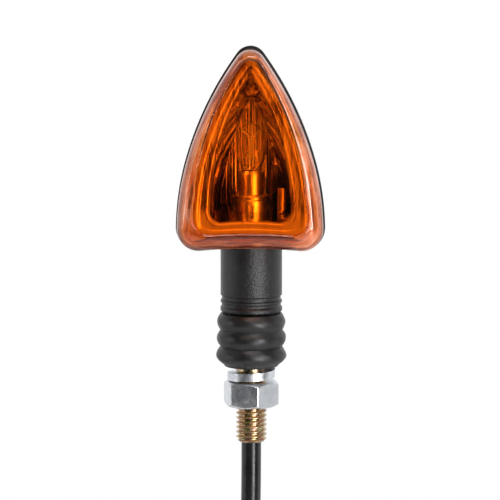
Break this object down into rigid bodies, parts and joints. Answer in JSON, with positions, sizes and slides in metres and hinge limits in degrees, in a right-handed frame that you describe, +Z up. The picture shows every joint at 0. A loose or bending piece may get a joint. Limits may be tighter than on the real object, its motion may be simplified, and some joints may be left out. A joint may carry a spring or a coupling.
{
  "type": "motorcycle turn signal indicator",
  "caption": "Arrowhead turn signal with an amber lens in a black housing, on a stem with a flexible ribbed rubber neck and a hollow threaded stud with washer and nut.",
  "frame": {"origin": "on the stud's axis, in the plane of the rubber foot's flat rim that seats on the bracket", "axes": "+Z up the stem from the seat to the head's apex, the lens faces -Y, +X to the right seen from the front"},
  "size_m": [0.04, 0.038, 0.3067],
  "materials": {
    "housing_black": "moulded, lightly satin",
    "lens_amber": "clear amber plastic, polished, mould flow lines",
    "rubber_black": "moulded rubber, soft sheen",
    "reflector_bright": "vacuum-metallised plastic, fluted",
    "screw_steel": "bright",
    "stem_black": "fine moulded grain",
    "insulator_black": "matt",
    "holder_brass": "pressed",
    "fibre_board": "pressed fibre",
    "spring_steel": "drawn wire",
    "bulb_nickel": "nickel plate",
    "bulb_black_glass": "fused",
    "solder": "dull",
    "bulb_clear_glass": "blown, clear",
    "tungsten": "drawn and coiled",
    "stud_chromate": "yellow chromate over zinc, iridescent",
    "zinc_bright": "bright zinc plate, faintly blue",
    "cable_black": "smooth vinyl",
    "wire_orange": "vinyl",
    "wire_green": "vinyl",
    "tie_black": "nylon",
    "terminal_brass": "pressed and crimped",
    "sleeve_clear": "soft clear vinyl"
  },
  "bodies": {
    "base": {"rubber_neck": "rubber_black", "stud": "stud_chromate", "cable_drop": "cable_black", "cable_hank": "cable_black", "hank_tie": "tie_black", "end_sleeve": "cable_black", "live_core": "wire_orange", "earth_core": "wire_green", "bullet_terminals": "terminal_brass", "terminal_sleeves": "sleeve_clear"},
    "neck_link": {"neck_cable": "cable_black"},
    "head": {"rear_housing": "housing_black", "lens": "lens_amber", "lens_gasket": "rubber_black", "reflector": "reflector_bright", "lens_screw": "screw_steel", "stem_tube": "stem_black", "socket_bush": "insulator_black", "socket_shell": "holder_brass", "socket_insulator": "fibre_board", "socket_plunger": "holder_brass", "socket_spring": "spring_steel", "bulb_cap": "bulb_nickel", "bulb_insulator": "bulb_black_glass", "bulb_contact": "solder", "bulb_glass": "bulb_clear_glass", "bulb_bead": "bulb_clear_glass", "bulb_wires": "spring_steel", "bulb_filament": "tungsten", "earth_strip": "holder_brass", "live_wire": "wire_orange", "earth_wire": "wire_green"},
    "washer": {"lock_washer": "zinc_bright"},
    "nut": {"hex_nut": "zinc_bright"}
  },
  "joints": [
    {"name": "neck_bend_fore_aft", "type": "hinge", "parent": "base", "child": "neck_link", "pos_m": [0, 0, 0.007], "axis": [1, 0, 0], "range_deg": [-20, 20], "stiffness_Nm_per_rad": 1.2, "deforming": ["rubber_neck", "neck_cable"]},
    {"name": "neck_bend_sideways", "type": "hinge", "parent": "neck_link", "child": "head", "pos_m": [0, 0, 0.007], "axis": [0, 1, 0], "range_deg": [-20, 20], "stiffness_Nm_per_rad": 1.2, "deforming": ["rubber_neck", "neck_cable"]},
    {"name": "washer_travel", "type": "slide", "parent": "base", "child": "washer", "axis": [0, 0, 1], "range_m": [-0.01625, 0]},
    {"name": "nut_turn", "type": "hinge", "parent": "washer", "child": "nut", "pos_m": [0, 0, -0.00725], "axis": [0, 0, 1], "range_deg": [-4680, 0]}
  ],
  "couplings": [
    {"joint": "nut_turn", "follows": "washer_travel", "rad_per_m": 5026.5}
  ]
}
